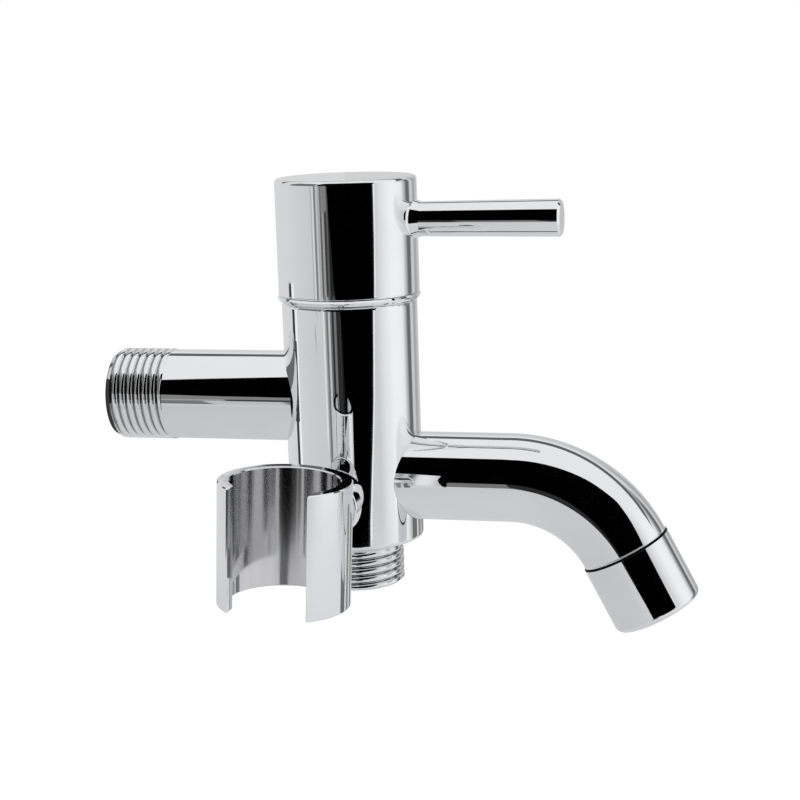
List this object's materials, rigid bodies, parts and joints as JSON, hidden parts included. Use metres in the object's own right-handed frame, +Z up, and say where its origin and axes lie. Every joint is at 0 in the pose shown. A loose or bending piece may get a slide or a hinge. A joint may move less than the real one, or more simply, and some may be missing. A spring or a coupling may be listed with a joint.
{
  "type": "wall-mounted two-outlet tap",
  "caption": "Wall tap with a round body, a lever handle on top, a bent spout with an aerator, a threaded hose outlet below and a swivelling holder for a hand sprayer.",
  "frame": {"origin": "centre of the inlet's open end, on the inlet's axis", "axes": "+X along the inlet from the wall to the spout, +Z up along the body, towards the handle; the sprayer holder is on the -Y side"},
  "size_m": [0.132, 0.0805, 0.1003],
  "materials": {
    "chrome_plate": "polished",
    "thread_plate": "bright, less polished in the grooves",
    "holder_plate": "polished outside, duller inside",
    "brass": "turned",
    "disc_ceramic": "lapped",
    "seal_rubber": "moulded",
    "slide_plastic": "moulded",
    "aerator_plastic": "moulded",
    "screen_steel": "perforated sheet",
    "screw_steel": "turned"
  },
  "bodies": {
    "tap": {"body": "chrome_plate", "inlet_tube": "chrome_plate", "spout_tube": "chrome_plate", "nozzle": "chrome_plate", "aerator_washer": "seal_rubber", "aerator_screen": "screen_steel", "aerator_body": "aerator_plastic", "outlet_nipple": "thread_plate", "outlet_seal": "seal_rubber", "cartridge_seal": "seal_rubber", "fixed_disc": "disc_ceramic", "cartridge_housing": "brass", "housing_ring": "seal_rubber", "spindle_washer": "slide_plastic", "retaining_nut": "brass", "skirt_ring": "chrome_plate", "holder_boss": "chrome_plate", "holder_grub": "screw_steel", "holder_washer": "slide_plastic"},
    "handle": {"handle_cap": "chrome_plate", "lever_rod": "chrome_plate", "lever_stud": "screw_steel", "spindle": "brass", "spindle_ring": "seal_rubber", "moving_disc": "disc_ceramic"},
    "holder": {"holder_clip": "holder_plate", "holder_pivot": "holder_plate"}
  },
  "joints": [
    {"name": "handle_turn", "type": "hinge", "parent": "tap", "child": "handle", "pos_m": [0.0555, 0, 0], "axis": [0, 0, 1], "range_deg": [-90, 90]},
    {"name": "holder_swivel", "type": "hinge", "parent": "tap", "child": "holder", "pos_m": [0.0555, 0, -0.0193], "axis": [0, -1, 0], "range_deg": [-90, 90]}
  ]
}
